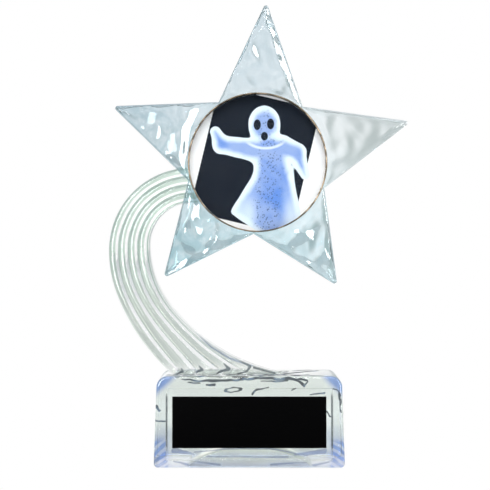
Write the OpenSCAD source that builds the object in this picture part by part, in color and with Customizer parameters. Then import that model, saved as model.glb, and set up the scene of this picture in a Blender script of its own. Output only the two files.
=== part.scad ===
// Star trophy: a clear star on a fluted comet tail, standing on a clear block base.
// Millimetres. +Z is up and the front faces -Y. The origin is the centre of the base's underside.

/* [Base] */
// Solid cheek left on each side of the label panel, at the bottom
base_cheek = 4.8; // [4:0.1:15]
// How much narrower each side is at the top, for mould draft
base_draft = 1.1; // [0:0.1:2]
// Height of the base
base_h = 33.8; // [30:0.1:60]
// Depth of the base at the bottom, front to back
base_bottom_d = 31; // [25:0.5:50]
// Radius of the top corners, seen from the front
top_corner_r = 4; // [2:0.1:6]
// Radius of the bottom corners, seen from the front
bottom_corner_r = 1.7; // [0.5:0.1:3]
// Radius along the front and back top edges
top_edge_r = 1.3; // [0.3:0.1:2]

/* [Underside hollow] */
// Solid left on each side of the arched hollow under the base
arch_side = 12; // [8:0.5:18]
// Height of the arched hollow at its middle
arch_h = 7; // [5:0.1:9]
// Wall left in front of and behind the hollow
arch_wall = 4.5; // [3:0.1:6]

/* [Label panel] */
// Margin of the sunk label panel at each side of the name plate
panel_side = 2.1; // [0.5:0.1:4]
// Margin of the label panel above the name plate
panel_above = 2.9; // [0.5:0.1:5]
// Margin of the label panel below the name plate
panel_below = 4.2; // [0.5:0.1:6]
// Height of the label panel's lower edge, measured up the front face
panel_z = 3.1; // [2:0.1:5]
// Depth of the label panel
panel_depth = 1; // [0.8:0.1:1.4]

/* [Name plate] */
// Width of the name plate, a 2 1/4 inch blank
plate_w = 57.15; // [45:0.05:80]
// Height of the name plate, a 3/4 inch blank
plate_h = 19.05; // [12:0.05:20]
// Thickness of the name plate
plate_t = 0.5; // [0.3:0.1:0.8]
// Thickness of the mounting tape behind the name plate
plate_tape_t = 0.15; // [0.1:0.05:0.3]
// How far the mounting tape stops short of the name plate's edges
plate_tape_inset = 0.6; // [0.3:0.1:2]

/* [Insert] */
// Diameter of the printed insert, a 2 inch disc
insert_d = 50.8; // [40:0.1:62]
// Thickness of the printed insert
print_t = 0.3; // [0.2:0.1:0.6]
// Thickness of the clear cover over the print
cover_t = 0.3; // [0.2:0.1:1]
// Thickness of the adhesive disc behind the print
glue_t = 0.2; // [0.1:0.1:0.4]
// How far the adhesive disc stops short of the insert's edge
glue_inset = 1.5; // [1:0.5:5]

/* [Trim ring] */
// Wall of the trim ring
ring_wall = 0.5; // [0.3:0.1:0.8]
// How far the trim ring stands proud of the star's face
ring_proud = 0.3; // [0.1:0.1:0.8]

/* [Star] */
// Height of the star's centre
star_z = 113.3; // [94:0.1:140]
// Clockwise turn of the star, seen from the front
star_turn = 3.1; // [0:0.1:6]
// Reach of the top point from the star's centre, before its tip is rounded
reach_top = 60; // [50:0.1:75]
// Reach of the right point
reach_right = 59.3; // [50:0.1:75]
// Reach of the lower right point
reach_lower_right = 54.8; // [50:0.1:75]
// Reach of the lower left point
reach_lower_left = 55.6; // [50:0.1:75]
// Reach of the left point
reach_left = 58.1; // [50:0.1:75]
// Material left between the seat of the ring and the notches of the star
notch_wall = 0.7; // [0.5:0.1:4]
// Radius of the rounded tips
tip_r = 0.9; // [0.5:0.1:2]
// Thickness of the star
star_t = 7; // [5:0.5:10]
// Front face of the star, in front of the middle of the base
star_front = 12; // [10:0.5:14]
// Depth of the insert's seat in the star's face
seat_depth = 3; // [1.5:0.1:3.5]
// Width of the raised line round the star's face
rim_w = 0.5; // [0.3:0.1:1]
// Height of the raised line
rim_h = 0.3; // [0.2:0.1:0.6]

/* [Comet tail] */
// How far the tail's outer edge reaches to the left of the star's centre
outer_reach = 55.9; // [52:0.1:62]
// How far below the star's centre the outer edge is leftmost
outer_below = 32.6; // [29:0.1:36]
// Fall of the outer edge from there to the base, which stretches when the base or the star moves
outer_fall = 46.9; // [44:0.1:50]
// Radius of the outer edge above its leftmost place
outer_upper_r = 31; // [29:0.1:33]
// Radius of the outer edge just below it
outer_middle_r = 45.5; // [42:0.1:50]
// Angle that the middle radius of the outer edge covers
outer_middle_a = 21.8; // [15:0.1:30]
// Radius of the outer edge down to the base
outer_lower_r = 77.8; // [70:0.1:90]
// How far the tail's inner edge reaches to the left of the star's centre
inner_reach = 40.8; // [38:0.1:44]
// How far below the star's centre the inner edge is leftmost
inner_below = 30.6; // [28:0.1:34]
// Fall of the inner edge from there to the base
inner_fall = 48.9; // [46:0.1:50]
// Radius of the inner edge above its leftmost place
inner_upper_r = 15.9; // [14:0.1:18]
// Radius of the inner edge just below it
inner_middle_r = 38.3; // [35:0.1:42]
// Angle that the middle radius of the inner edge covers
inner_middle_a = 40.1; // [35:0.1:45]
// Radius of the inner edge down to the base
inner_lower_r = 71.4; // [65:0.1:80]
// Angle past the leftmost place at which the tail ends behind the star
tail_end_a = 110; // [100:1:115]
// Thickness of the tail, front to back, where it meets the star
tail_top_t = 9; // [7:0.5:12]
// How far the tail's foot stays inside the flat of the base's top, front and back
foot_margin = 0.6; // [0.3:0.1:3]
// How far the tail's foot stays inside the flat of the base's top, at the left
foot_left = 2.2; // [0.5:0.1:6]
// Height of the flutes above the grooves between them, at the foot
flute_h = 2.6; // [1:0.1:4]
// Height of the flutes near the star
flute_top_h = 1.3; // [0.6:0.1:2.5]

/* [Joints] */
// Depth to which the tail is let into the star and into the base
let_in = 1; // [0.5:0.1:2]
// Gap all round the tail where it is let into the star and the base
tail_fit = 0.1; // [0.05:0.05:0.2]
// Gap round the trim ring, and between the ring and the insert
ring_fit = 0.05; // [0.02:0.01:0.1]

/* [Hidden] */
$fn = 96;

// The label panel frames the name plate, and the base frames the panel.
panel_w = plate_w + 2 * panel_side;
panel_h = plate_h + panel_above + panel_below;
plate_z = panel_z + panel_below;
base_bottom_w = panel_w + 2 * base_cheek;
// The front face leans back by the draft, and the label panel lies along it.
lean = atan2(base_draft, base_h);
// The flat of the base's top, inside its rounded edges.
top_flat_w = base_bottom_w - 2 * base_draft - 2 * top_corner_r;
top_flat_d = base_bottom_d - 2 * base_draft - 2 * top_edge_r;
arch_w = base_bottom_w - 2 * arch_side;
corner_steps = 8;

// The stack in the star: a seat, a ring against its wall, and the insert inside the ring.
ring_id = insert_d + 2 * ring_fit;
ring_od = ring_id + 2 * ring_wall;
seat_d = ring_od + 2 * ring_fit;
seat_y = seat_depth - star_front;
star_back = star_t - star_front;

// The star's points, clockwise from the top one, and the notches half way between them.
reaches = [reach_top, reach_right, reach_lower_right, reach_lower_left, reach_left];
arms = len(reaches);
notch_r = seat_d / 2 + notch_wall;

// A tail edge is [x, z, upper r, middle r, middle angle, lower r, fall], x and z at its leftmost place.
// Its foot runs to the right of that place by foot_run, which sets the star's place over the base.
tail_foot_t = top_flat_d - 2 * foot_margin;
foot_x = foot_left - top_flat_w / 2;
outer_x = foot_x - foot_run([0, 0, outer_upper_r, outer_middle_r, outer_middle_a, outer_lower_r, outer_fall]);
star_x = outer_x + outer_reach;
outer_edge = [outer_x, star_z - outer_below, outer_upper_r, outer_middle_r, outer_middle_a, outer_lower_r, outer_fall];
inner_edge = [star_x - inner_reach, star_z - inner_below, inner_upper_r, inner_middle_r, inner_middle_a,
    inner_lower_r, inner_fall];

// The tail is swept from t = 0 behind the star, past its leftmost place at the crook, to t = 1 on the base.
crook = 0.38;
stations = 34;
flute_steps = 5;
web_steps = 2;
// Its end behind the star is rounded over this share of its length, in a few closer sections.
nose = 0.055;
nose_steps = 4;
nose_blunt = 0.35;
// The flutes fade out over these shares, where the tail lies behind the star, and it widens from spread_from.
fade_from = 0.045;
fade_to = 0.075;
spread_from = 0.12;
// The share of each section's width at which a groove lies, near the star and at the foot.
// The last and narrowest strip is the web that runs out along the base.
grooves_top = [0, 0.24, 0.48, 0.72, 0.96, 1];
grooves_foot = [0, 0.09, 0.25, 0.49, 0.71, 1];
web_share = 0.45;
tail_front_y = star_back - let_in;

function mix(a, b, t) = a + (b - a) * t;
function ease(t) = let (c = max(0, min(1, t))) c * c * (3 - 2 * c);
function unit(v) = v / norm(v);

// Rounds the corners of an outline with tangent arcs; radii holds one radius for each corner.
function corner(p, before, after, r) =
    r <= 0 ? [p] :
    let (
        u = unit(before - p),
        w = unit(after - p),
        half = acos(max(-1, min(1, u * w))) / 2,
        centre = p + unit(u + w) * r / sin(half),
        from = p + u * r / tan(half) - centre,
        to = p + w * r / tan(half) - centre,
        a0 = atan2(from[1], from[0]),
        turn = atan2(from[0] * to[1] - from[1] * to[0], from * to)
    )
    [for (i = [0:corner_steps]) centre + r * [cos(a0 + turn * i / corner_steps), sin(a0 + turn * i / corner_steps)]];

function rounded(points, radii) =
    let (n = len(points))
    [for (i = [0:n - 1]) each corner(points[i], points[(i + n - 1) % n], points[(i + 1) % n], radii[i])];

// Moves every side of a clockwise outline inwards by a distance.
function inset(points, d) =
    let (n = len(points))
    [for (i = [0:n - 1])
        let (
            p = points[i],
            u = unit(p - points[(i + n - 1) % n]),
            w = unit(points[(i + 1) % n] - p),
            nu = [u[1], -u[0]],
            nw = [w[1], -w[0]],
            bisector = unit(nu + nw)
        )
        p + bisector * d / (bisector * nu)];

// Draws an outline in the XZ plane as a plate from front_y back by a thickness.
module upright_plate(front_y, thickness) {
    translate([0, front_y + thickness, 0])
        rotate([90, 0, 0])
            linear_extrude(thickness)
                children();
}

// Places children on the base's front face: X across, Z up the face, Y into the block.
module on_front_face() {
    translate([0, -base_bottom_d / 2, 0])
        rotate([-lean, 0, 0])
            children();
}

// Places a turned part on the floor of the star's seat, with its axis pointing forwards.
module on_seat(lift = 0) {
    translate([star_x, seat_y - lift, star_z])
        rotate([90, 0, 0])
            children();
}

// The outline of a tapered block, wider at the bottom.
function block_outline(bottom, top_r, bottom_r) =
    rounded(
        [[-bottom / 2, 0], [-bottom / 2 + base_draft, base_h], [bottom / 2 - base_draft, base_h], [bottom / 2, 0]],
        [bottom_r, top_r, top_r, bottom_r]);

module base_block() {
    arch_r = (pow(arch_w / 2, 2) + pow(arch_h, 2)) / (2 * arch_h);
    color([0.86, 0.91, 0.93, 0.4])
        difference() {
            intersection() {
                upright_plate(-base_bottom_d / 2, base_bottom_d)
                    polygon(block_outline(base_bottom_w, top_corner_r, bottom_corner_r));
                rotate([0, 0, 90])
                    upright_plate(-base_bottom_w / 2, base_bottom_w)
                        polygon(block_outline(base_bottom_d, top_edge_r, 0));
            }
            on_front_face()
                translate([-panel_w / 2, -1, panel_z])
                    cube([panel_w, panel_depth + 1, panel_h]);
            intersection() {
                upright_plate(arch_wall - base_bottom_d / 2, base_bottom_d - 2 * arch_wall)
                    translate([0, arch_h - arch_r])
                        circle(arch_r);
                translate([-arch_w, -base_bottom_d, -1])
                    cube([2 * arch_w, 2 * base_bottom_d, arch_h + 2]);
            }
            translate([0, 0, base_h - let_in])
                linear_extrude(let_in + 1)
                    polygon(foot_outline(tail_fit));
        }
}

// The angle at which a tail edge's lower arc ends, and how far that is to the right of its leftmost place.
function foot_angle(e) = asin((e[6] + (e[5] - e[3]) * sin(e[4])) / e[5]);
function foot_run(e) = e[3] + (e[5] - e[3]) * cos(e[4]) - e[5] * cos(foot_angle(e));

// A point on a tail edge: an angle up its upper arc, or a share of the way down its two lower arcs.
// The lower arcs are stretched in height so that they end on top of the base.
function edge_up(e, a) = [e[0] + e[2] * (1 - cos(a)), e[1] + e[2] * sin(a)];
function edge_down(e, share) =
    let (
        middle = e[3] * e[4],
        lower = e[5] * (foot_angle(e) - e[4]),
        run = share * (middle + lower),
        a = run <= middle ? run / e[3] : e[4] + (run - middle) / e[5],
        hub = [e[3], 0],
        lower_hub = hub + (e[5] - e[3]) * [cos(e[4]), sin(e[4])],
        p = run <= middle ? hub - e[3] * [cos(a), sin(a)] : lower_hub - e[5] * [cos(a), sin(a)]
    )
    [e[0] + p[0], e[1] + p[1] * (e[1] - base_h) / e[6]];

function edge_at(e, t) =
    t < crook ? edge_up(e, tail_end_a * (1 - t / crook)) : edge_down(e, (t - crook) / (1 - crook));

// The two edges at a place along the tail, drawn together in a round nose and moved apart by a gap.
function edges_at(t, gap = 0) =
    let (
        o = edge_at(outer_edge, t),
        i = edge_at(inner_edge, t),
        middle = (o + i) / 2,
        half = norm(o - i) / 2,
        share = t < nose ? mix(nose_blunt, 1, sqrt(1 - pow(1 - t / nose, 2))) : 1,
        reach = unit(o - i) * (half * share + gap)
    )
    [middle + reach, middle - reach];

// How far the tail reaches forwards and backwards along its length.
function spread(t) = ease((t - spread_from) / (1 - spread_from));
function front_at(t) = mix(tail_front_y, -tail_foot_t / 2, spread(t));
function back_at(t) = mix(tail_front_y + tail_top_t, tail_foot_t / 2, spread(t));
function flute_at(t) = mix(flute_top_h, flute_h, spread(t)) * ease((t - fade_from) / (fade_to - fade_from));
function foot_share(t) = max(0, (t - crook) / (1 - crook));
function grooves_at(t) = mix(grooves_top, grooves_foot, pow(foot_share(t), 3));

// One side of a section, from the outer edge to the inner one, as [share of width, depth].
// The web is thinner than the flutes where it runs out along the base.
function flute_side(t, y, inwards, grow) =
    let (
        g = grooves_at(t),
        flutes = len(g) - 1,
        h = flute_at(t),
        web = web_share * abs(y) * pow(foot_share(t), 2)
    )
    [for (i = [0:flutes - 1])
        let (steps = i == flutes - 1 ? web_steps : flute_steps)
        for (k = [(i == 0 ? 0 : 1):steps])
            let (
                a = 180 * k / steps,
                centre = (g[i] + g[i + 1]) / 2,
                thin = i == flutes - 1 ? web : 0
            )
            [centre - (g[i + 1] - g[i]) / 2 * cos(a), y + inwards * (h * (1 - sin(a)) + thin - grow)]];

function section_sides(t, grow = 0) =
    let (
        front = flute_side(t, front_at(t), 1, grow),
        back = flute_side(t, back_at(t), -1, grow)
    )
    concat(front, [for (i = [len(back) - 1:-1:0]) back[i]]);

function section(t) =
    let (ends = edges_at(t))
    [for (q = section_sides(t)) let (p = mix(ends[0], ends[1], q[0])) [p[0], q[1], p[1]]];

// The foot's outline on top of the base, with a gap all round.
function foot_outline(gap) =
    let (
        ends = edges_at(1),
        nearly = 0.001
    )
    [for (q = section_sides(1, gap))
        [mix(ends[0], ends[1], q[0])[0] + (q[0] < nearly ? -gap : q[0] > 1 - nearly ? gap : 0), q[1]]];

module comet_tail() {
    rings = concat(
        [for (n = [0:nose_steps - 1]) section(nose * (1 - cos(90 * n / nose_steps)))],
        [for (n = [0:stations]) section(mix(nose, 1, n / stations))],
        [[for (p = section(1)) [p[0], p[1], base_h - let_in]]]);
    k = len(rings[0]);
    last = len(rings) - 1;
    // Each end is closed by strips from the front of its section to the back.
    strips = [for (i = [0:k / 2 - 2]) each [[i, i + 1, k - 1 - i], [i + 1, k - 2 - i, k - 1 - i]]];
    color([0.82, 0.9, 0.84, 0.5])
        polyhedron(
            points = [for (ring = rings) each ring],
            faces = concat(
                strips,
                [for (n = [0:last - 1], i = [0:k - 1]) let (j = (i + 1) % k) each [
                    [n * k + i, (n + 1) * k + j, n * k + j],
                    [n * k + i, (n + 1) * k + i, (n + 1) * k + j]]],
                [for (f = strips) [for (i = [2:-1:0]) last * k + f[i]]]));
}

// The star's sharp corners in the XZ plane, clockwise from the top point.
function star_corners() =
    [for (i = [0:arms - 1], part = [0, 1])
        let (
            a = star_turn + 360 / arms * (i + part / 2),
            r = part == 0 ? reaches[i] : notch_r
        )
        [star_x + r * sin(a), star_z + r * cos(a)]];

function star_outline(d) =
    rounded(inset(star_corners(), d), [for (i = [0:arms - 1], part = [0, 1]) part == 0 ? tip_r - d : 0]);

// The strip of the star's back into which the tail's end is let, with a gap all round.
function tongue_outline(gap) =
    let (
        steps = 24,
        tip = edges_at(0, gap),
        past = unit(tip[0] + tip[1] - edges_at(nose / 2)[0] - edges_at(nose / 2)[1]) * gap,
        at = concat([for (k = [1:nose_steps - 1]) nose * (1 - cos(90 * k / nose_steps))],
            [for (k = [0:steps]) mix(nose, crook, k / steps)])
    )
    concat(
        [tip[0] + past],
        [for (t = at) edges_at(t, gap)[0]],
        [for (k = [len(at) - 1:-1:0]) edges_at(at[k], gap)[1]],
        [tip[1] + past]);

module star_body() {
    color([0.84, 0.91, 0.95, 0.6])
        difference() {
            upright_plate(-star_front, star_t)
                polygon(star_outline(0));
            upright_plate(-star_front - 1, rim_h + 1)
                polygon(star_outline(rim_w));
            upright_plate(-star_front - 1, seat_depth + 1)
                translate([star_x, star_z])
                    circle(d = seat_d);
            upright_plate(tail_front_y, let_in + 1)
                polygon(tongue_outline(tail_fit));
        }
}

module trim_ring() {
    wall_h = seat_depth + ring_proud - ring_wall / 2;
    color([0.72, 0.6, 0.4])
        on_seat()
            rotate_extrude() {
                translate([ring_id / 2, 0])
                    square([ring_wall, wall_h]);
                translate([ring_id / 2 + ring_wall / 2, wall_h])
                    circle(d = ring_wall);
            }
}

module insert_glue() {
    color([0.95, 0.95, 0.92])
        on_seat()
            cylinder(h = glue_t, d = insert_d - 2 * glue_inset);
}

module insert_print() {
    color([0.16, 0.18, 0.25])
        on_seat(glue_t)
            cylinder(h = print_t, d = insert_d);
}

module insert_cover() {
    color([0.9, 0.95, 1, 0.3])
        on_seat(glue_t + print_t)
            cylinder(h = cover_t, d = insert_d);
}

module plate_tape() {
    color([0.9, 0.9, 0.88])
        on_front_face()
            translate([plate_tape_inset - plate_w / 2, panel_depth - plate_tape_t, plate_z + plate_tape_inset])
                cube([plate_w - 2 * plate_tape_inset, plate_tape_t, plate_h - 2 * plate_tape_inset]);
}

module name_plate() {
    color([0.02, 0.02, 0.02])
        on_front_face()
            translate([-plate_w / 2, panel_depth - plate_tape_t - plate_t, plate_z])
                cube([plate_w, plate_t, plate_h]);
}

base_block();
comet_tail();
star_body();
trim_ring();
insert_glue();
insert_print();
insert_cover();
plate_tape();
name_plate();
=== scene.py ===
import math

import bpy
import numpy as np
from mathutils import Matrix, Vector


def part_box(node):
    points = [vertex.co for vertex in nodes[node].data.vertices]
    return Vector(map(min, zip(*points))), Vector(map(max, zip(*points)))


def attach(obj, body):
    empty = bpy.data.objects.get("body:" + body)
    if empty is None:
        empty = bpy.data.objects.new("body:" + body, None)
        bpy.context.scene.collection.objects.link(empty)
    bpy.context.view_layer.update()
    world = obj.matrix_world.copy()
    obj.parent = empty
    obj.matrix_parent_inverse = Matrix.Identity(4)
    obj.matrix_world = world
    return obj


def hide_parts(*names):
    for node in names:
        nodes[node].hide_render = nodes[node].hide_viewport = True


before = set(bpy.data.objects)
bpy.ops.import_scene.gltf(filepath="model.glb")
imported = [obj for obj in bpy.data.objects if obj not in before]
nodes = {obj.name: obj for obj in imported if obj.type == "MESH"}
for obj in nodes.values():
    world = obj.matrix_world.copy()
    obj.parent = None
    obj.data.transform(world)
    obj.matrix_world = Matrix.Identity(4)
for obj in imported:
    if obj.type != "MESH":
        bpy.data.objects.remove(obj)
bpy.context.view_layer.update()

# A clear star trophy, put together round its CAD frame: the block base, the comet tail, the star,
# the printed insert in its ring, and the name plate. Metres, +Z up, and the front faces -Y.
MM = 0.001


# ---------------------------------------------------------------- The table, the light and the camera
# A plain white table under a light tent. Soft panels stand round the trophy with dark gaps between
# them, because clear plastic shows its shape only by the darker places that it bends into view.

class Wire:
    """A socket in a material, with the operators that build its maths nodes."""

    def __init__(self, finish, socket):
        self.finish = finish
        self.socket = socket

    def math(self, operation, *values):
        """A Math node with exactly these values."""
        return self.finish.node("ShaderNodeMath", {"operation": operation}, *values)

    def __add__(self, other):
        return self.math("ADD", self, other)

    def __radd__(self, other):
        return self.math("ADD", other, self)

    def __sub__(self, other):
        return self.math("SUBTRACT", self, other)

    def __rsub__(self, other):
        return self.math("SUBTRACT", other, self)

    def __mul__(self, other):
        return self.math("MULTIPLY", self, other)

    def __rmul__(self, other):
        return self.math("MULTIPLY", other, self)

    def __truediv__(self, other):
        return self.math("DIVIDE", self, other)

    def __pow__(self, other):
        return self.math("POWER", self, other)

    def __abs__(self):
        return self.math("ABSOLUTE", self)

    def sine(self):
        return self.math("SINE", self)

    def cosine(self):
        return self.math("COSINE", self)

    def fraction(self):
        return self.math("FRACT", self)

    def angle_from(self, other):
        return self.math("ARCTAN2", self, other)

    def at_least(self, other):
        return self.math("MAXIMUM", self, other)

    def at_most(self, other):
        return self.math("MINIMUM", self, other)

    def blended_with(self, other, distance):
        """The smaller of two distances, with their meeting rounded."""
        return self.math("SMOOTH_MIN", self, other, distance)

    def step(self, start, end):
        """0 up to start and 1 from end, with a smooth rise between them."""
        return self.finish.node(
            "ShaderNodeMapRange", {"interpolation_type": "SMOOTHSTEP"}, self, start, end, 0.0, 1.0)


class Finish:
    """The nodes of a material or of the world."""

    def __init__(self, tree):
        self.tree = tree
        self.tree.nodes.clear()

    def node(self, kind, settings=None, *values, out=0, **named):
        made = self.tree.nodes.new(kind)
        for key, value in (settings or {}).items():
            setattr(made, key, value)
        for place, value in [*enumerate(values), *named.items()]:
            socket = made.inputs[place if isinstance(place, int) else place.replace("_", " ")]
            if isinstance(value, Wire):
                self.tree.links.new(value.socket, socket)
            else:
                socket.default_value = value
        return Wire(self, made.outputs[out]) if made.outputs else None

    def mix(self, share, low, high):
        """A blend of two colours."""
        made = self.tree.nodes.new("ShaderNodeMix")
        made.data_type = "RGBA"
        for socket, value in ((0, share), (6, low), (7, high)):
            if isinstance(value, Wire):
                self.tree.links.new(value.socket, made.inputs[socket])
            else:
                made.inputs[socket].default_value = value
        return Wire(self, made.outputs[2])

    def place(self):
        """The X, Y and Z of a point on the trophy, in millimetres."""
        coords = self.node("ShaderNodeTexCoord", out=3)
        scaled = self.node("ShaderNodeVectorMath", {"operation": "SCALE"}, coords, Scale=1 / MM)
        parts = self.tree.nodes.new("ShaderNodeSeparateXYZ")
        self.tree.links.new(scaled.socket, parts.inputs[0])
        return [Wire(self, out) for out in parts.outputs]


def new_finish(name):
    material = bpy.data.materials.new(name)
    material.use_nodes = True
    return material, Finish(material.node_tree)


def shade(finish, **sockets):
    """Ends a material with a Principled shader that has these sockets."""
    shader = finish.node("ShaderNodeBsdfPrincipled", None, **sockets)
    finish.node("ShaderNodeOutputMaterial", None, shader)


def light_tent():
    """White all round to the eye, and soft panels with dimmer gaps to what the plastic bends or mirrors."""
    world = bpy.data.worlds.new("light_tent")
    bpy.context.scene.world = world
    world.use_nodes = True
    tent = Finish(world.node_tree)
    direction = tent.node("ShaderNodeTexCoord")
    parts = world.node_tree.nodes.new("ShaderNodeSeparateXYZ")
    world.node_tree.links.new(direction.socket, parts.inputs[0])
    x, y, z = [Wire(tent, out) for out in parts.outputs]
    panels, turned = 8, 0.9
    bright = (x.angle_from(y) * panels + turned).cosine().step(-0.75, 0.55)
    # Dimmer below the table's edge, and again in a ring between the panels and the top light.
    above_table = z.step(-0.12, 0.10)
    ring = z.step(0.30, 0.42) * (1 - z.step(0.60, 0.72))
    bright = bright * (0.45 + above_table * 0.55) * (1 - ring * 0.8)
    gap, panel, white = (0.48, 0.53, 0.52, 1), (1.05, 1.05, 1.05, 1), (1, 1, 1, 1)
    colour = tent.mix(bright, gap, panel)
    seen = tent.node("ShaderNodeLightPath", None, out=0)
    shown = tent.mix(seen, colour, white)
    background = tent.node("ShaderNodeBackground", None, shown, 1.0)
    tent.node("ShaderNodeOutputWorld", None, background)


def table():
    """White paper, lit so evenly that the eye sees no shadow on it."""
    below_base = -0.2 * MM
    bpy.ops.mesh.primitive_plane_add(size=6, location=(0, 0, below_base))
    top = bpy.context.object
    top.name = "table_top"
    material, finish = new_finish("white_table")
    paper = finish.node("ShaderNodeBsdfDiffuse", None, (0.80, 0.82, 0.84, 1))
    glow = finish.node("ShaderNodeEmission", None, (1, 1, 1, 1), 1.0)
    seen = finish.node("ShaderNodeLightPath", None, out=0)
    both = finish.node("ShaderNodeMixShader", None, seen, paper, glow)
    finish.node("ShaderNodeOutputMaterial", None, both)
    top.data.materials.append(material)


def lamp(name, place, size, power, lights_paper):
    """A soft panel that faces the trophy. Some only show as a gloss and leave the paper as it is."""
    bpy.ops.object.light_add(type="AREA", location=place)
    light = bpy.context.object
    light.name = name
    light.data.shape = "RECTANGLE"
    light.data.size, light.data.size_y = size
    light.data.energy = power
    light.visible_diffuse = lights_paper
    middle = Vector((0, 0, 0.1))
    light.rotation_euler = (middle - Vector(place)).to_track_quat("-Z", "Y").to_euler()


def camera():
    """Level with the middle of the tail, square on to the front, from half a metre."""
    distance, height, aside = 0.508, 0.0825, -0.0016
    view_width, at_depth = 0.18204, 0.495
    bpy.ops.object.camera_add(location=(aside, -distance, height), rotation=(math.radians(90), 0, 0))
    made = bpy.context.object
    made.data.sensor_width = 36
    made.data.lens = made.data.sensor_width * at_depth / view_width
    made.data.clip_start = 0.01
    bpy.context.scene.camera = made


bpy.ops.object.select_all(action="DESELECT")
bpy.context.scene.view_settings.view_transform = "Standard"
light_tent()
table()
lamp("left_panel", place=(-0.32, -0.46, 0.26), size=(0.30, 0.44), power=5.4, lights_paper=False)
lamp("right_panel", place=(0.42, -0.40, 0.20), size=(0.22, 0.44), power=4.0, lights_paper=False)
lamp("top_panel", place=(0.0, -0.34, 0.60), size=(0.5, 0.16), power=3.0, lights_paper=True)
camera()


# ---------------------------------------------------------------- The comet tail
# One clear moulding with four flutes that sweeps up from the base and round behind the star. Its
# foot is let into the top of the base and its blunt end into the star's back, and both are cemented.

ring_low, ring_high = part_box("trim_ring")
tail_low, tail_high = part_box("comet_tail")
base_low, base_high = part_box("base_block")
star_low, star_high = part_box("star_body")
star_x = (ring_low[0] + ring_high[0]) / 2
star_z = (ring_low[2] + ring_high[2]) / 2
base_top = base_high[2]
let_in = base_top - tail_low[2]
tail_front = star_high[1] - let_in

# An edge of the tail: its leftmost place, the radius above it, the radius and angle just below it,
# the radius from there to the base, and its whole fall.
OUTER = dict(x=tail_low[0], z=star_z - 32.6 * MM, up=31 * MM, middle=45.5 * MM,
             turn=math.radians(21.8), low=77.8 * MM, fall=46.9 * MM)
INNER = dict(x=star_x - 40.8 * MM, z=star_z - 30.6 * MM, up=15.9 * MM, middle=38.3 * MM,
             turn=math.radians(40.1), low=71.4 * MM, fall=48.9 * MM)
# The turn of the part above the leftmost place, the share of the length that it takes, and the
# share over which the blunt end behind the star rounds off.
TAIL_END = math.radians(110)
CROOK = 0.38
NOSE = 0.055
NOSE_TIMES = [NOSE * (1 - math.cos(math.pi / 2 * k / 8)) for k in range(9)]
TAIL_TOP_THICK = 9 * MM
# Four flutes and a thin web: their depth, and where the grooves between them lie across the tail.
FLUTES, FLUTE_STEPS, WEB_STEPS = 4, 14, 5
FLUTE_TOP, FLUTE_FOOT = 1.3 * MM, 2.6 * MM
GROOVES_TOP = np.array([0, 0.24, 0.48, 0.72, 0.96, 1])
GROOVES_FOOT = np.array([0, 0.09, 0.25, 0.49, 0.71, 1])
WEB_SHARE = 0.45
# What keeps two clear faces from lying in the same place.
HAIR = 0.03 * MM


def ease(t):
    t = min(1, max(0, t))
    return t * t * (3 - 2 * t)


def blend(a, b, t):
    return a + (b - a) * t


def edge_point(edge, t):
    """Where an edge of the tail is, from t = 0 behind the star to t = 1 on the base."""
    if t < CROOK:
        angle = TAIL_END * (1 - t / CROOK)
        return np.array([edge["x"] + edge["up"] * (1 - math.cos(angle)),
                         edge["z"] + edge["up"] * math.sin(angle)])
    middle, low, turn = edge["middle"], edge["low"], edge["turn"]
    last = math.asin((edge["fall"] + (low - middle) * math.sin(turn)) / low)
    run = (t - CROOK) / (1 - CROOK) * (middle * turn + low * (last - turn))
    hub = np.array([middle, 0])
    if run <= middle * turn:
        point = hub - middle * np.array([math.cos(run / middle), math.sin(run / middle)])
    else:
        angle = turn + (run - middle * turn) / low
        hub = hub + (low - middle) * np.array([math.cos(turn), math.sin(turn)])
        point = hub - low * np.array([math.cos(angle), math.sin(angle)])
    return np.array([edge["x"] + point[0], edge["z"] + point[1] * (edge["z"] - base_top) / edge["fall"]])


def tail_section(t, grow=0):
    """The points round the tail at t: along its front from the outer edge to the inner, and back."""
    outer, inner = edge_point(OUTER, t), edge_point(INNER, t)
    if t < NOSE:
        share = blend(0.2, 1, math.sqrt(1 - (1 - t / NOSE) ** 2))
        centre = (outer + inner) / 2
        outer, inner = centre + (outer - centre) * share, centre + (inner - centre) * share
    spread = ease((t - 0.12) / 0.88)
    foot = max(0, (t - CROOK) / (1 - CROOK))
    front = blend(tail_front, tail_low[1], spread)
    back = blend(tail_front + TAIL_TOP_THICK, tail_high[1], spread)
    height = blend(FLUTE_TOP, FLUTE_FOOT, spread) * ease((t - 0.045) / 0.03)
    grooves = blend(GROOVES_TOP, GROOVES_FOOT, foot ** 3)
    sides = []
    for y, inwards in ((front, 1), (back, -1)):
        side = []
        for i in range(FLUTES + 1):
            web = i == FLUTES
            left, right = grooves[i], grooves[i + 1]
            steps = WEB_STEPS if web else FLUTE_STEPS
            thin = WEB_SHARE * abs(y) * foot ** 2 if web else 0
            for k in range(0 if i == 0 else 1, steps + 1):
                angle = math.pi * k / steps
                across = (left + right) / 2 - (right - left) / 2 * math.cos(angle)
                x, z = outer + (inner - outer) * across
                side.append((x, y + inwards * (height * (1 - math.sin(angle)) + thin - grow), z))
        sides.append(side)
    return sides[0] + sides[1][::-1]


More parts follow.
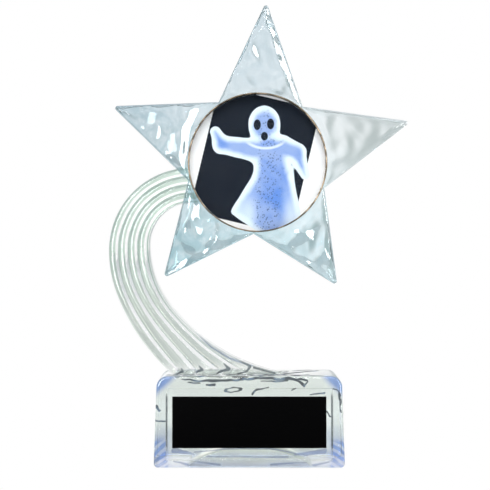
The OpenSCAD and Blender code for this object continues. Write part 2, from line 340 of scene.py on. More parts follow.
def lofted(name, points, flutes=None):
    """A skin through rows of points, closed round each row and over its first and last rows.

    flutes gives each column its place across the tail, which the finish reads.
    """
    rows, columns = points.shape[:2]
    bpy.ops.object.select_all(action="DESELECT")
    bpy.ops.mesh.primitive_grid_add(x_subdivisions=columns, y_subdivisions=rows - 1, size=2)
    piece = bpy.context.object
    piece.name = piece.data.name = name
    flat = np.empty(len(piece.data.vertices) * 3)
    piece.data.vertices.foreach_get("co", flat)
    flat = flat.reshape(-1, 3)
    column = np.rint((flat[:, 0] + 1) / 2 * columns).astype(int) % columns
    row = np.rint((flat[:, 1] + 1) / 2 * (rows - 1)).astype(int)
    piece.data.vertices.foreach_set("co", points[row, column].ravel())
    if flutes is not None:
        flute = piece.data.attributes.new("flute", "FLOAT", "POINT")
        flute.data.foreach_set("value", flutes[column])
    bpy.ops.object.mode_set(mode="EDIT")
    bpy.ops.mesh.select_all(action="SELECT")
    bpy.ops.mesh.remove_doubles(threshold=0.0001 * MM)
    bpy.ops.mesh.select_all(action="DESELECT")
    bpy.ops.mesh.select_non_manifold()
    bpy.ops.mesh.fill_holes(sides=0)
    bpy.ops.mesh.select_all(action="SELECT")
    bpy.ops.mesh.normals_make_consistent(inside=False)
    bpy.ops.object.mode_set(mode="OBJECT")
    return piece


def take_up(piece):
    """Makes this the one selected object."""
    bpy.ops.object.select_all(action="DESELECT")
    piece.select_set(True)
    bpy.context.view_layer.objects.active = piece


def smooth(piece, degrees):
    take_up(piece)
    bpy.ops.object.shade_smooth_by_angle(angle=math.radians(degrees))


def limb(u, v, start, end, thick_start, thick_end):
    """How far outside a rounded, tapering stroke a place is."""
    (x0, z0), (x1, z1) = start, end
    run = (x1 - x0) ** 2 + (z1 - z0) ** 2
    share = (((u - x0) * (x1 - x0) + (v - z0) * (z1 - z0)) / run).at_least(0.0).at_most(1.0)
    a, b = u - x0 - share * (x1 - x0), v - z0 - share * (z1 - z0)
    return (a * a + b * b).at_least(1e-6) ** 0.5 - (thick_start + share * (thick_end - thick_start))


def nearest(distances):
    """The smallest of several distances."""
    least = distances[0]
    for distance in distances[1:]:
        least = least.at_most(distance)
    return least


# Strokes in millimetres across and up: start, end, and half the thickness at each. The hooks are painted
# shade, dark, at the foot of each flute, and the painted shade along the thin web's edge is a blue-grey
# line.
HOOK_SHADE_STROKES = [
    ((-25.4, 36.6), (-24.9, 35.3), 0.12, 0.45), ((-24.9, 35.3), (-27.0, 34.5), 0.45, 0.25),
    ((-18.6, 37.4), (-17.5, 36.1), 0.12, 0.52), ((-17.5, 36.1), (-20.0, 34.9), 0.52, 0.3),
    ((-9.4, 38.3), (-7.7, 36.4), 0.12, 0.55), ((-7.7, 36.4), (-11.9, 34.8), 0.6, 0.3),
    ((-3.6, 39.4), (0.15, 36.9), 0.12, 0.45), ((0.15, 36.9), (-0.9, 35.3), 0.45, 0.3),
    ((-0.9, 35.3), (-4.6, 34.6), 0.3, 0.18), ((1.5, 36.4), (9.5, 34.4), 0.25, 0.4),
]
WEB_SHADE_STROKES = [
    ((-20.7, 50.2), (-13.8, 44.2), 0.08, 0.22), ((-13.8, 44.2), (-7.3, 40.1), 0.22, 0.3),
    ((-7.3, 40.1), (-0.8, 37.6), 0.3, 0.22), ((-0.8, 37.6), (8.0, 35.6), 0.22, 0.4),
]


def tail_finish():
    """Clear plastic, green to cream on its front, with a painted highlight beside each groove and painted
    shade in it.
    """
    material, finish = new_finish("clear_tail")
    x, y, z = finish.place()
    coords = finish.node("ShaderNodeTexCoord", out=3)
    haze = finish.node("ShaderNodeTexNoise", None, coords, Scale=90.0, Detail=2.0)
    ripple = finish.node("ShaderNodeTexNoise", None, coords, Scale=45.0, Detail=1.0)
    wander = ripple - 0.5
    front = 1 - y.step(-3.0, 1.0)
    near_foot = 1 - z.step(34.0, 50.0)
    # Greener round the crook, creamier below it, and colourless behind.
    green = finish.mix(haze.step(0.3, 0.7), (0.35, 0.53, 0.42, 1), (0.49, 0.67, 0.56, 1))
    cream = finish.mix(haze, (0.64, 0.72, 0.61, 1), (0.75, 0.82, 0.73, 1))
    cast = finish.mix(front, (1.0, 1.0, 1.0, 1), finish.mix(z.step(45.0, 85.0), cream, green))
    # Across each flute from 0 to 1: a painted highlight stripe, and painted shade in the groove where two
    # flutes meet.
    flute = finish.node("ShaderNodeAttribute", {"attribute_name": "flute"}, out=2)
    across = (flute + wander * 0.14).fraction()
    painted_highlight = across.step(0.58, 0.66) * (1 - across.step(0.80, 0.88)) * front
    groove = (across + near_foot * 0.06).step(0.90, 0.96) + (1 - across.step(0.02, 0.05))
    groove = groove * (0.35 + 0.65 * ripple.step(0.35, 0.6)) * front * flute.step(0.3, 0.5)
    # Painted shade where the foot meets the base, with painted shade hooks and a painted shade line along
    # the web's edge above it.
    painted_contact_shade = 1 - (z + wander * 3).step(33.9, 34.3)
    painted_hook_shade = nearest([limb(x + wander * 1.5, z, *hook) for hook in HOOK_SHADE_STROKES])
    painted_hook_shade = (1 - painted_hook_shade.step(-0.05, 0.25)) * front
    painted_web_shade = nearest([limb(x + wander * 1.5, z, *line) for line in WEB_SHADE_STROKES])
    painted_web_shade = (1 - painted_web_shade.step(-0.05, 0.3)) * front
    colour = finish.mix(painted_highlight, cast, (1.0, 1.0, 1.0, 1))
    colour = finish.mix(groove * (0.5 + 0.25 * near_foot), colour, (0.08, 0.14, 0.15, 1))
    colour = finish.mix(painted_contact_shade * 0.85, colour, (0.03, 0.06, 0.09, 1))
    colour = finish.mix(painted_web_shade * 0.9, colour, (0.11, 0.16, 0.27, 1))
    colour = finish.mix(painted_hook_shade * 0.95, colour, (0.02, 0.035, 0.05, 1))
    # The painted highlight stripes, the back of the lower half and the foot let more of the white through.
    back = (1 - front) * (1 - z.step(50.0, 74.0)) * 0.66
    foot = (1 - z.step(35.5, 40.0)) * front * 0.5
    cover = 0.96 - (painted_highlight * 0.8).at_least(back).at_least(foot)
    shade(finish, Base_Color=colour, Roughness=0.03, IOR=1.09, Transmission_Weight=1.0,
          Alpha=cover.at_least(painted_hook_shade.at_least(painted_web_shade)),
          Coat_Weight=1.0, Coat_Roughness=0.04, Coat_IOR=1.5)
    return material


def comet_tail():
    rows_below_nose = 130
    times = NOSE_TIMES[:-1] + [blend(NOSE, 1, n / rows_below_nose) for n in range(rows_below_nose + 1)]
    rows = [tail_section(t) for t in times]
    rows.append([(x, y, base_top - let_in) for x, y, z in tail_section(1)])
    flutes = [k / FLUTE_STEPS for k in range(FLUTES * FLUTE_STEPS + 1)]
    flutes += [FLUTES + k / WEB_STEPS for k in range(1, WEB_STEPS + 1)]
    piece = lofted("tail_moulding", np.array(rows), np.array(flutes + flutes[::-1]))
    smooth(piece, 40)
    piece.data.materials.append(tail_finish())
    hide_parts("comet_tail")
    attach(piece, "root")


comet_tail()


# ---------------------------------------------------------------- The base
# A thick clear block with a draft to its sides, a sunk panel for the plate on its front and a
# shallow arched hollow underneath, all moulded in one.

def cut_out(piece, cutter):
    """Takes one solid out of another, throws the cutter away and clears the slivers that it left."""
    take_up(piece)
    made = piece.modifiers.new("cut", "BOOLEAN")
    made.operation = "DIFFERENCE"
    made.solver = "EXACT"
    made.object = cutter
    bpy.ops.object.modifier_apply(modifier=made.name)
    bpy.data.objects.remove(cutter)
    sliver = 0.004 * MM
    bpy.ops.object.mode_set(mode="EDIT")
    bpy.ops.mesh.select_all(action="SELECT")
    bpy.ops.mesh.remove_doubles(threshold=sliver)
    bpy.ops.mesh.dissolve_degenerate(threshold=sliver)
    bpy.ops.object.mode_set(mode="OBJECT")


def round_edges(piece, width, steps, test, clamp=False):
    """Rounds the edges whose two ends pass a test."""
    bpy.ops.object.mode_set(mode="EDIT")
    bpy.ops.mesh.select_mode(type="EDGE")
    bpy.ops.mesh.select_all(action="DESELECT")
    bpy.ops.object.mode_set(mode="OBJECT")
    for edge in piece.data.edges:
        a, b = (piece.data.vertices[v].co for v in edge.vertices)
        edge.select = test(a, b)
    bpy.ops.object.mode_set(mode="EDIT")
    bpy.ops.mesh.bevel(offset=width, segments=steps, affect="EDGES", clamp_overlap=clamp)
    bpy.ops.object.mode_set(mode="OBJECT")


def oval(u, v, across, up, half_w, half_h):
    """How far outside an upright oval a place is; negative inside."""
    a, b = (u - across) / half_w, (v - up) / half_h
    return ((a * a + b * b).at_least(1e-6) ** 0.5 - 1) * min(half_w, half_h)


# Strokes laid out as on the tail, here painted dark reflections; those on the top lie across and back. The
# low ones are painted blue streaks, where the arched hollow and the panel's foot are bent into view.
FRONT_PAINTED_REFLECTIONS = [
    ((-25.0, 32.8), (-14.0, 32.0), 0.15, 0.45), ((-14.0, 32.0), (-2.0, 32.8), 0.45, 0.35),
    ((-2.0, 33.2), (13.0, 33.1), 0.35, 0.5), ((13.0, 33.1), (21.5, 32.3), 0.5, 0.3),
    ((4.0, 31.9), (14.0, 32.3), 0.12, 0.3), ((16.5, 32.4), (20.6, 30.5), 0.3, 0.5),
    ((20.6, 30.5), (21.8, 32.0), 0.4, 0.15), ((-15.9, 30.7), (-12.9, 30.7), 0.2, 0.38),
    ((-22.5, 31.7), (-18.5, 31.4), 0.15, 0.3), ((1.1, 27.1), (2.5, 28.7), 0.38, 0.3),
    ((2.5, 28.7), (6.6, 29.5), 0.3, 0.12), ((15.9, 28.7), (17.3, 29.4), 0.12, 0.2),
    ((22.9, 27.1), (28.5, 27.9), 0.14, 0.26), ((28.9, 20.8), (30.2, 18.8), 0.25, 0.15),
    ((-34.2, 22.9), (-32.8, 21.3), 0.45, 0.25), ((-34.6, 17.6), (-31.2, 17.3), 0.25, 0.18),
    ((31.3, 29.4), (33.4, 26.4), 0.14, 0.3), ((33.4, 26.4), (33.9, 20.5), 0.3, 0.12),
]
TOP_PAINTED_REFLECTIONS = [
    ((-4.0, -12.0), (8.0, -9.0), 0.5, 1.6), ((8.0, -9.0), (26.0, 8.0), 1.6, 0.7),
    ((9.0, -3.0), (17.0, -10.5), 0.8, 1.4), ((17.0, -12.0), (27.0, -11.0), 0.4, 0.8),
    ((6.0, -7.0), (14.0, 3.0), 0.5, 1.0), ((-27.0, -12.5), (-14.0, -12.0), 0.3, 0.8),
    ((-10.0, -11.5), (-5.0, -12.5), 0.8, 0.3), ((12.0, 6.0), (24.0, 10.5), 0.6, 0.9),
    ((4.0, -13.2), (22.0, -7.5), 0.3, 0.7), ((-30.0, -8.0), (-25.0, -12.0), 0.8, 0.4),
]
LOW_PAINTED_REFLECTIONS = [
    ((-27.5, 6.3), (-20.5, 4.6), 0.9, 0.2), ((27.8, 6.2), (17.0, 5.0), 0.9, 0.25),
    ((-20.5, 2.3), (-11.0, 1.3), 0.05, 0.32), ((8.0, 1.3), (21.5, 2.3), 0.32, 0.05),
    ((-28.0, 2.4), (-23.0, 1.2), 0.1, 0.4), ((24.0, 1.2), (29.0, 2.4), 0.4, 0.1),
    ((-20.3, 5.6), (-10.0, 6.9), 0.1, 0.16), ((-10.0, 6.9), (8.0, 7.1), 0.16, 0.16),
    ((8.0, 7.1), (21.5, 4.6), 0.16, 0.1), ((-16.0, 4.2), (14.0, 4.0), 0.1, 0.22),
]


def base_finish():
    """Clear plastic, with painted blue shade at its corners and cheeks and painted dark reflections of what
    it bends into view.
    """
    material, finish = new_finish("clear_base")
    x, y, z = finish.place()
    coords = finish.node("ShaderNodeTexCoord", out=3)
    haze = finish.node("ShaderNodeTexNoise", None, coords, Scale=60.0, Detail=3.0)
    wobble = finish.node("ShaderNodeTexNoise", None, coords, Scale=260.0, Detail=1.0)
    wander = haze * 5 - 2.5
    side = abs(x) + wander * 0.5
    lower = 1 - (z + wander).step(9.0, 13.0)
    facing = 1 - y.step(-13.5, -10.5)
    on_front = 1 - y.step(-12.5, -11.5)
    # Painted blue shade in the cheeks, the upper corners and the foot, with pale chevrons low on the
    # cheeks.
    painted_cheek_shade = side.step(29.5, 31.2) * (0.06 + 0.94 * lower) * (0.3 + 0.7 * facing)
    painted_corner_shade = (side + z).step(59.0, 63.0) * (0.3 + 0.7 * facing)
    foot = 1 - (z + wander * 0.4).step(0.5, 3.5)
    blue = (painted_cheek_shade.at_least(painted_corner_shade) + foot * 0.5).at_most(1.0)
    colour = finish.mix(blue, (0.89, 0.92, 0.86, 1), (0.10, 0.20, 0.62, 1))
    slant = (abs(x) * 0.9 + z * 1.3 + y * 0.7 + wander * 3.0) * 1.7
    chevron = slant.sine().step(-0.1, 0.6) * lower * side.step(28.5, 30.0) * facing
    colour = finish.mix(chevron * 0.5, colour, (0.92, 0.95, 1.0, 1))
    # Painted shade on the panel's side walls, which catch no light.
    wall = abs(x).step(30.2, 30.4) * (1 - abs(x).step(30.9, 31.1)) * (1 - y.step(-12.5, -12.0))
    wall = wall * z.step(4.0, 9.0) * (1 - z.step(26.0, 28.5))
    colour = finish.mix(wall * 0.95, colour, (0.01, 0.016, 0.025, 1))
    # The panel's lower lip and the rim below it let the white of the paper through.
    lip = z.step(2.9, 3.1) * (1 - z.step(3.3, 3.5))
    lip = lip * (1 - abs(x).step(30.5, 31.2)) * (1 - y.step(-14.5, -14.0))
    rim = (1 - z.step(1.5, 4.0)) * 0.35
    clear = finish.node("ShaderNodeBsdfPrincipled", None, Base_Color=colour, Roughness=0.02, IOR=1.3,
                        Alpha=1 - rim.at_least(lip * 0.6), Transmission_Weight=1.0,
                        Coat_Weight=1.0, Coat_Roughness=0.03, Coat_IOR=1.5)
    # Painted dark reflections: strokes and one loop on the front, strokes on the top, and the blue streaks.
    u, v, w = x + (wobble - 0.5) * 3, z + (wobble - 0.5) * 1.6, y + (wobble - 0.5) * 5
    painted_loop = abs(oval(u, v, -5.9, 28.8, 2.3, 0.9)) - 0.16
    front = nearest([limb(u, v, *stroke) for stroke in FRONT_PAINTED_REFLECTIONS] + [painted_loop])
    front = (1 - front.step(-0.05, 0.18)) * on_front
    top = nearest([limb(u, w, *stroke) for stroke in TOP_PAINTED_REFLECTIONS])
    top = (1 - top.step(-0.2, 0.5)) * z.step(33.0, 33.4)
    painted_reflections = front.at_least(top)
    painted_streaks = nearest([limb(u, z + (haze - 0.5) * 1.2, *streak) for streak in LOW_PAINTED_REFLECTIONS])
    painted_streaks = (1 - painted_streaks.step(-0.1, 0.3)) * on_front
    painted_reflection_dark = finish.mix(wobble.step(0.48, 0.7), (0.012, 0.022, 0.04, 1), (0.10, 0.15, 0.21, 1))
    painted_reflection_colour = finish.mix(painted_reflections.at_least(1 - painted_streaks), (0.10, 0.17, 0.42, 1), painted_reflection_dark)
    painted_reflection_shader = finish.node("ShaderNodeBsdfPrincipled", None, Base_Color=painted_reflection_colour, Roughness=0.5,
                        Specular_IOR_Level=0.0)
    share = (painted_reflections * 0.85).at_least(painted_streaks * 0.5)
    both = finish.node("ShaderNodeMixShader", None, share, clear, painted_reflection_shader)
    finish.node("ShaderNodeOutputMaterial", None, both)
    return material


CEMENT_GAP = 0.1 * MM


def base_block():
    draft = 1.1 * MM
    top_corner_r, foot_corner_r, face_edge_r = 4 * MM, 1.7 * MM, 1.1 * MM
    near = 0.01 * MM
    width, depth, height = (base_high[i] - base_low[i] for i in range(3))
    # The block is widest at its very foot, which the rounding of the lower corners takes away.
    width += 2 * 0.06 * MM
    bpy.ops.object.select_all(action="DESELECT")
    bpy.ops.mesh.primitive_cube_add(size=1, location=(0, 0, height / 2), scale=(width, depth, height))
    piece = bpy.context.object
    piece.name = piece.data.name = "base_moulding"
    bpy.ops.object.transform_apply(location=True, rotation=True, scale=True)
    for vertex in piece.data.vertices:
        if vertex.co.z > height / 2:
            vertex.co.x -= math.copysign(draft, vertex.co.x)
            vertex.co.y -= math.copysign(draft, vertex.co.y)
    top, low = height - 10 * near, 10 * near
    round_edges(piece, top_corner_r, 14, lambda a, b: abs(a.x - b.x) < low and a.z > top and b.z > top)
    round_edges(piece, foot_corner_r, 8, lambda a, b: abs(a.x - b.x) < low and a.z < low and b.z < low)
    round_edges(piece, face_edge_r, 6, lambda a, b: (
        abs(a.y - b.y) < draft and abs(a.y) > depth / 2 - 1.5 * draft and a.y * b.y > 0), clamp=True)

    # The sunk panel, a little wider at its mouth so that it leaves the mould.
    plate_low, plate_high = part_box("name_plate")
    plate_height = 19.05 * MM
    side, above, below, sunk, taper = 2.1 * MM, 2.9 * MM, 4.2 * MM, 1 * MM, 0.25 * MM
    lean = math.atan2(draft, height)
    left, right = plate_low[0] - side, plate_high[0] + side
    panel_low = 3.1 * MM
    panel_high = panel_low + below + plate_height + above

    def on_face(x, y, z):
        return (x, -depth / 2 + y * math.cos(lean) + z * math.sin(lean),
                z * math.cos(lean) - y * math.sin(lean))

    corners = ((left, panel_low), (right, panel_low), (right, panel_high), (left, panel_high))
    rows = [[on_face(x + math.copysign(grow, x), y, z + (grow if z > 10 * MM else -grow))
             for x, z in corners]
            for y, grow in ((-1.5 * MM, taper), (0, taper), (sunk, 0))]
    cut_out(piece, lofted("cutter", np.array(rows)))
    panel = [on_face(x, y, z) for x, z in ((left, panel_low), (right, panel_high)) for y in (0, sunk)]
    room = [(min(p[i] for p in panel) - 2 * taper, max(p[i] for p in panel) + 2 * taper)
            for i in range(3)]
    round_edges(piece, 0.2 * MM, 3, lambda a, b: all(
        lo < p[i] < hi for p in (a, b) for i, (lo, hi) in enumerate(room)))

    # The arched hollow. Its last facet runs on below the foot, so that it leaves no sliver there.
    half_w, rise, wall = (base_high[0] - base_low[0]) / 2 - 12 * MM, 7 * MM, 4.5 * MM
    radius = (half_w ** 2 + rise ** 2) / (2 * rise)
    reach = math.asin(half_w / radius) * 0.975
    arch = [(radius * math.sin(a), rise - radius + radius * math.cos(a))
            for a in np.linspace(-reach, reach, 73)]
    (x0, z0), (x1, z1) = arch[-1], (half_w, 0)
    beyond = (x0 + (x1 - x0) * 2, z0 + (z1 - z0) * 2)
    arch = [(-beyond[0], beyond[1])] + arch + [beyond]
    inner = depth / 2 - wall
    cut_out(piece, lofted("cutter", np.array([[(x, y, z) for x, z in arch] for y in (-inner, inner)])))
    round_edges(piece, 0.15 * MM, 2, lambda a, b: max(a.z, b.z) < rise + near and (
        abs(abs(a.y) - inner) < near and abs(a.y - b.y) < near
        or max(a.z, b.z) < near and abs(a.x - b.x) < near and abs(abs(a.x) - half_w) < 10 * near))

    # The pocket for the tail's foot.
    foot = [(x, y) for x, y, z in tail_section(1, grow=CEMENT_GAP)]
    levels = (base_top - let_in - HAIR, base_top + 1 * MM)
    cut_out(piece, lofted("cutter", np.array([[(x, y, z) for x, y in foot] for z in levels])))
    smooth(piece, 35)
    piece.data.materials.append(base_finish())
    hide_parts("base_block")
    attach(piece, "root")


base_block()


# ---------------------------------------------------------------- The star
# A clear plate whose face is hammered into long shallow dimples inside a fine raised line, with a
# round seat for the insert.

# How far the star leans clockwise, how far each arm reaches before its tip is rounded, clockwise
# from the top, and the radius of that rounding.
STAR_TURN = math.radians(3.1)
REACHES = [60 * MM, 59.3 * MM, 54.8 * MM, 55.6 * MM, 58.1 * MM]
ARMS = len(REACHES)
TIP_R = 0.9 * MM
DIMPLE_LONG, DIMPLE_WIDE = 5.2 * MM, 2.5 * MM
ring_gap, seat_rim = 0.05 * MM, 0.7 * MM
seat_r = (ring_high[0] - ring_low[0]) / 2 + ring_gap
notch_r = seat_r + seat_rim
face_y, back_y = star_low[1], star_high[1]
seat_y = ring_high[1]


def star_point(step, reach):
    """A place at this reach from the star's centre, some steps of an arm clockwise from the first tip."""
    angle = STAR_TURN + step * 2 * math.pi / ARMS
    return np.array([star_x + reach * math.sin(angle), star_z + reach * math.cos(angle)])


def star_outline(spacing):
    """Points round the star, clockwise from a notch, with the outward normal at each."""
    tip_steps = 8
    corners = []
    for i, reach in enumerate(REACHES):
        corners += [star_point(i - 0.5, notch_r), star_point(i, reach)]
    places, normals = [], []
    for i in range(0, 2 * ARMS, 2):
        notch, tip, following = corners[i], corners[i + 1], corners[(i + 2) % (2 * ARMS)]
        u = (notch - tip) / np.linalg.norm(notch - tip)
        w = (following - tip) / np.linalg.norm(following - tip)
        half = math.acos(float(u @ w)) / 2
        back = TIP_R / math.tan(half)
        hub = tip + (u + w) / np.linalg.norm(u + w) * TIP_R / math.sin(half)
        start, end = tip + u * back, tip + w * back
        n_in, n_out = (start - hub) / TIP_R, (end - hub) / TIP_R
        steps = int(np.linalg.norm(start - notch) / spacing)
        for k in range(steps):
            places.append(notch + (start - notch) * k / steps)
            normals.append(n_in)
        a0 = math.atan2(n_in[1], n_in[0])
        a1 = math.atan2(n_out[1], n_out[0])
        if a1 > a0:
            a1 -= 2 * math.pi
        for k in range(tip_steps + 1):
            angle = a0 + (a1 - a0) * k / tip_steps
            normal = np.array([math.cos(angle), math.sin(angle)])
            places.append(hub + TIP_R * normal)
            normals.append(normal)
        steps = int(np.linalg.norm(following - end) / spacing)
        for k in range(1, steps):
            places.append(end + (following - end) * k / steps)
            normals.append(n_out)
    places, normals = np.array(places), np.array(normals)
    # At a notch the normal is the mean of its two sides', lengthened to keep an inset line parallel.
    for notch in corners[::2]:
        k = int(np.argmin(np.linalg.norm(places - notch, axis=1)))
        mean = normals[k] + normals[k - 1]
        normals[k] = mean / (mean @ normals[k - 1])
    return places, normals


def dimples(rng, spacing):
    """Places, directions and sizes of the hammered dimples, on a jittered grid over the star."""
    made = []
    reach = max(REACHES)
    steps = int(reach / spacing) + 1
    for i in range(-steps, steps + 1):
        for j in range(-steps, steps + 1):
            x = (i + 0.5 * (j % 2) + rng.uniform(-0.3, 0.3)) * spacing
            z = (j + rng.uniform(-0.3, 0.3)) * spacing * 0.86
            lean = -0.7 if z > 26 * MM else 0.1
            made.append((x, z, rng.normal(lean, 0.6), rng.uniform(0.7, 1.35), rng.uniform(0.5, 1.0)))
    return np.array(made)


def hammered(x, z, marks):
    """How deep the face is at each point: the smooth sum of the dimples round it, from 0 to about 1."""
    long, wide = DIMPLE_LONG, DIMPLE_WIDE
    depth = np.zeros_like(x)
    for mx, mz, angle, size, strength in marks:
        dx, dz = x - star_x - mx, z - star_z - mz
        near = dx * dx + dz * dz < (2.2 * long) ** 2
        along = dx[near] * math.sin(angle) + dz[near] * math.cos(angle)
        across = dx[near] * math.cos(angle) - dz[near] * math.sin(angle)
        depth[near] += strength * np.exp(-((along / (long * size)) ** 2 + (across / (wide * size)) ** 2))
    return depth


def star_finish():
    """Clear plastic with a blue-green cast and painted shade that deepens it towards the left and the lower
    arms.
    """
    material, finish = new_finish("clear_star")
    x, y, z = finish.place()
    coords = finish.node("ShaderNodeTexCoord", out=3)
    haze = finish.node("ShaderNodeTexNoise", None, coords, Scale=110.0, Detail=2.0, Distortion=1.5)
    # Painted shade: deeper to the left and paler to the right, with the top arm between the two.
    low = 1 - z.step(75.0, 135.0)
    right = x.step(-60.0, 50.0)
    upper = finish.mix(right, (0.36, 0.50, 0.57, 1), (0.93, 0.98, 1.0, 1))
    lower = finish.mix(right, (0.32, 0.53, 0.60, 1), (0.71, 0.89, 0.95, 1))
    upper = finish.mix(z.step(125.0, 150.0), upper, (0.58, 0.69, 0.75, 1))
    cast = finish.mix(low, upper, lower)
    colour = finish.mix(haze.step(0.42, 0.62) * 0.35, cast, (0.90, 0.95, 0.98, 1))
    # The side walls get painted shade, deeper than the face, and the right arm's face lets some of the
    # white through.
    wall = y.step(-10.7, -10.3) * (1 - y.step(-5.7, -5.4))
    colour = finish.mix(wall * 0.8, colour, (0.42, 0.60, 0.67, 1))
    pale = x.step(12.0, 40.0) * z.step(92.0, 112.0) * (1 - y.step(-10.7, -10.3)) * 0.6
    shade(finish, Base_Color=colour, Roughness=0.04, IOR=1.45, Alpha=1 - pale, Transmission_Weight=1.0,
          Coat_Weight=1.0, Coat_Roughness=0.09, Coat_IOR=1.5)
    return material


def star_plate():
    line_w, line_h, soft, fade_width = 0.5 * MM, 0.3 * MM, 0.12 * MM, 3 * MM
    front_depth, back_depth = 0.85 * MM, 0.35 * MM
    places, normals = star_outline(0.7 * MM)
    count = len(places)
    # Where each ray of the mesh leaves the seat: the same share of the way round between two notches.
    notches = [int(np.argmin(np.linalg.norm(places - star_point(i - 0.5, notch_r), axis=1)))
               for i in range(ARMS)]
    angles = np.empty(count)
    for i, first in enumerate(notches):
        last = notches[i + 1] if i < ARMS - 1 else count
        share = np.arange(last - first) / (last - first)
        angles[first:last] = STAR_TURN + (i - 0.5 + share) * 2 * math.pi / ARMS
    circle = np.stack([np.sin(angles), np.cos(angles)], 1)
    centre = np.array([star_x, star_z])

    def row(flat, y):
        y = np.broadcast_to(np.asarray(y, float), (count,))
        return np.stack([flat[:, 0], y, flat[:, 1]], 1)

    def inset(distance):
        return places - normals * distance

    rng = np.random.default_rng(7)
    front_marks = dimples(rng, 7.2 * MM)
    back_marks = dimples(rng, 7.0 * MM)
    floor_y = face_y + line_h

    def face_rows(inner, outer, y, depth, marks, steps):
        """The hammered rows between two lines, sunk by a depth along Y that fades out at both."""
        made = []
        for k in range(1, steps):
            flat = inner + (outer - inner) * k / steps
            room = np.minimum(np.linalg.norm(flat - inner, axis=1), np.linalg.norm(flat - outer, axis=1))
            room = np.minimum(room, ((flat - places) * -normals).sum(1))
            fade = np.clip(room / fade_width, 0, 1)
            fade = fade * fade * (3 - 2 * fade)
            sunk = hammered(flat[:, 0], flat[:, 1], marks)
            made.append(row(flat, y + depth * fade * (sunk - 0.3)))
        return made

    mouth = centre + circle * (seat_r + soft)
    hub = centre + circle * (seat_r - 1 * MM)
    rows = [row(centre + circle * seat_r, seat_y),
            row(centre + circle * seat_r, floor_y + soft),
            row(mouth, floor_y)]
    rows += face_rows(mouth, inset(line_w), floor_y, front_depth, front_marks, 50)
    rows += [row(inset(line_w), floor_y),
             row(inset(line_w - soft), face_y),
             row(inset(soft), face_y),
             row(places, face_y + soft),
             row(places, back_y - soft),
             row(inset(soft), back_y)]
    rows += face_rows(hub, inset(soft), back_y, -back_depth, back_marks, 40)[::-1]
    rows += [row(hub, back_y)]
    piece = lofted("star_plate", np.array(rows))

    # The slot in its back for the tail's end.
    times = NOSE_TIMES + [blend(NOSE, CROOK, k / 40) for k in range(1, 41)]
    outer_side, inner_side = [], []
    for section in map(tail_section, times):
        outer, inner = np.array(section[0]), np.array(section[len(section) // 2])
        out = (outer - inner) / np.linalg.norm(outer - inner) * CEMENT_GAP
        outer_side.append(outer + out)
        inner_side.append(inner - out)
    outline = outer_side + inner_side[::-1]
    levels = (tail_front - HAIR, back_y + 1 * MM)
    cut_out(piece, lofted("cutter", np.array([[(x, y, z) for x, _, z in outline] for y in levels])))
    smooth(piece, 35)
    piece.data.materials.append(star_finish())
    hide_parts("star_body")
    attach(piece, "root")


star_plate()


# ---------------------------------------------------------------- The insert and its ring
# A printed paper disc under a clear film, cemented into the star's round seat and held by a thin
# gilt metal ring. The picture is a plain bed-sheet ghost on a night-blue card.

def polished(piece, material):
    """Gives a carried-over solid its finish."""
    for held in piece.material_slots:
        held.material = material


def gilt():
    material, finish = new_finish("gilt_ring")
    coords = finish.node("ShaderNodeTexCoord", out=3)
    wear = finish.node("ShaderNodeTexNoise", None, coords, Scale=350.0, Detail=3.0)
    colour = finish.mix(wear.step(0.35, 0.7), (0.06, 0.045, 0.03, 1), (0.26, 0.20, 0.14, 1))
    shade(finish, Base_Color=colour, Roughness=0.18 + wear * 0.2, Metallic=1.0)
    return material


def glue():
    material, finish = new_finish("glue_with_painted_glow")
    coords = finish.node("ShaderNodeTexCoord", out=3)
    blobs = finish.node("ShaderNodeTexNoise", None, coords, Scale=200.0, Detail=2.0)
    colour = finish.mix(blobs, (0.80, 0.79, 0.74, 1), (0.92, 0.92, 0.89, 1))
    # The glue glows faintly in its own colour, a painted light that keeps it pale.
    shade(finish, Base_Color=colour, Roughness=0.35 + blobs * 0.2,
          Emission_Color=colour, Emission_Strength=0.5)
    return material


def edge_of(u, v, start, end):
    """How far to the left of the line from start to end a place is."""
    (x0, z0), (x1, z1) = start, end
    length = math.hypot(x1 - x0, z1 - z0)
    return (u - x0) * (-(z1 - z0) / length) + (v - z0) * ((x1 - x0) / length)


